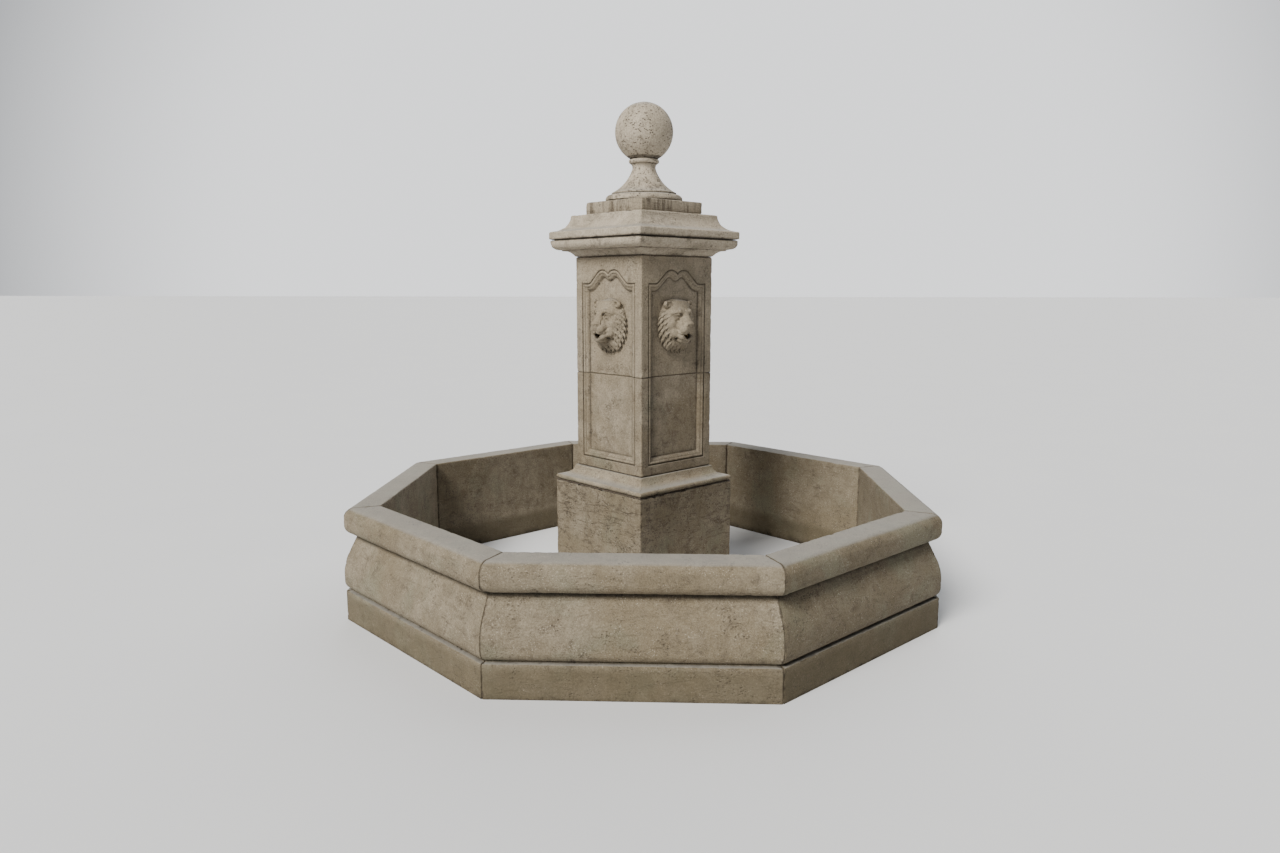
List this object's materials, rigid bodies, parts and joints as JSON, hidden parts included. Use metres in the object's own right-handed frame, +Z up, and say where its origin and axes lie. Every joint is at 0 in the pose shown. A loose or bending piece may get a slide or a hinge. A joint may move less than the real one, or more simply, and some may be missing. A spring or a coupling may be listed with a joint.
{
  "type": "pool fountain",
  "caption": "Carved limestone pool fountain: octagonal basin wall round a square panelled pedestal with lion-mask spouts, moulded cap and ball finial.",
  "frame": {"origin": "on the ground, at the centre of the basin and on the pedestal's axis", "axes": "+Z is up; the front wall stone faces -Y, so the pedestal's front corner points to -Y and its faces look along the diagonals of X and Y"},
  "size_m": [2.684, 2.684, 2.369],
  "materials": {
    "wall_limestone": "weathered, honed",
    "pedestal_limestone": "weathered, pitted",
    "mask_limestone": "carved, weathered",
    "lime_mortar": "rough",
    "stainless": "brushed",
    "lever_steel": "dipped vinyl over steel",
    "brass": "tarnished",
    "copper": "tarnished copper",
    "bronze": "dark bronze patina",
    "pump_plastic": "moulded",
    "impeller_plastic": "moulded",
    "seat_ptfe": "smooth",
    "magnet": "sintered ferrite",
    "shaft_ceramic": "ground",
    "rubber": "moulded"
  },
  "bodies": {
    "fountain": {"basin_wall_front": "wall_limestone", "basin_wall_front_left": "wall_limestone", "basin_wall_left": "wall_limestone", "basin_wall_back_left": "wall_limestone", "basin_wall_back": "wall_limestone", "basin_wall_back_right": "wall_limestone", "basin_wall_right": "wall_limestone", "basin_wall_front_right": "wall_limestone", "basin_joint_mortar": "lime_mortar", "basin_joint_dowels": "stainless", "base_block": "pedestal_limestone", "base_moulding": "pedestal_limestone", "shaft_lower_block": "pedestal_limestone", "shaft_upper_block": "pedestal_limestone", "capital": "pedestal_limestone", "cap_slab": "pedestal_limestone", "cap_step": "pedestal_limestone", "finial_pedestal": "pedestal_limestone", "finial_ball": "pedestal_limestone", "pedestal_bed_mortar": "lime_mortar", "pedestal_dowels": "stainless", "finial_rod": "stainless", "lion_mask_front_right": "mask_limestone", "spout_nozzle_front_right": "brass", "spout_tube_front_right": "copper", "lion_mask_back_right": "mask_limestone", "spout_nozzle_back_right": "brass", "spout_tube_back_right": "copper", "lion_mask_back_left": "mask_limestone", "spout_nozzle_back_left": "brass", "spout_tube_back_left": "copper", "lion_mask_front_left": "mask_limestone", "spout_nozzle_front_left": "brass", "spout_tube_front_left": "copper", "mask_fixing_pins": "stainless", "pump_body": "pump_plastic", "pump_volute_cover": "pump_plastic", "pump_strainer_cage": "pump_plastic", "pump_shaft_pin": "shaft_ceramic", "pump_feet": "rubber", "pump_cable_gland": "impeller_plastic", "pump_union": "brass", "flow_valve_body": "brass", "flow_valve_seats": "seat_ptfe", "riser_pipe": "copper", "spout_manifold": "brass", "access_door_frame": "bronze", "access_door_hinge_pins": "stainless", "access_door_frame_screws": "stainless"},
    "pump_rotor": {"pump_impeller": "impeller_plastic", "pump_rotor_magnet": "magnet"},
    "valve_spindle": {"flow_valve_ball": "stainless", "flow_valve_stem": "brass", "flow_valve_lever": "lever_steel", "flow_valve_lever_nut": "stainless"},
    "access_door": {"access_door_grille": "bronze"},
    "door_latch": {"access_door_latch": "brass"}
  },
  "joints": [
    {"name": "pump_rotor_spin", "type": "hinge", "parent": "fountain", "child": "pump_rotor", "pos_m": [0, 0, 0.066], "axis": [-0.7071, 0.7071, 0], "continuous": true},
    {"name": "flow_valve_lever_turn", "type": "hinge", "parent": "fountain", "child": "valve_spindle", "pos_m": [0, 0, 0.23], "axis": [0.7071, 0.7071, 0], "range_deg": [0, 90]},
    {"name": "access_door_swing", "type": "hinge", "parent": "fountain", "child": "access_door", "pos_m": [0.30406, 0.14425, 0.21], "axis": [0, 0, -1], "range_deg": [0, 110]},
    {"name": "door_latch_turn", "type": "hinge", "parent": "access_door", "child": "door_latch", "pos_m": [0.15415, 0.28708, 0.21], "axis": [-0.7071, -0.7071, 0], "range_deg": [0, 90]}
  ]
}
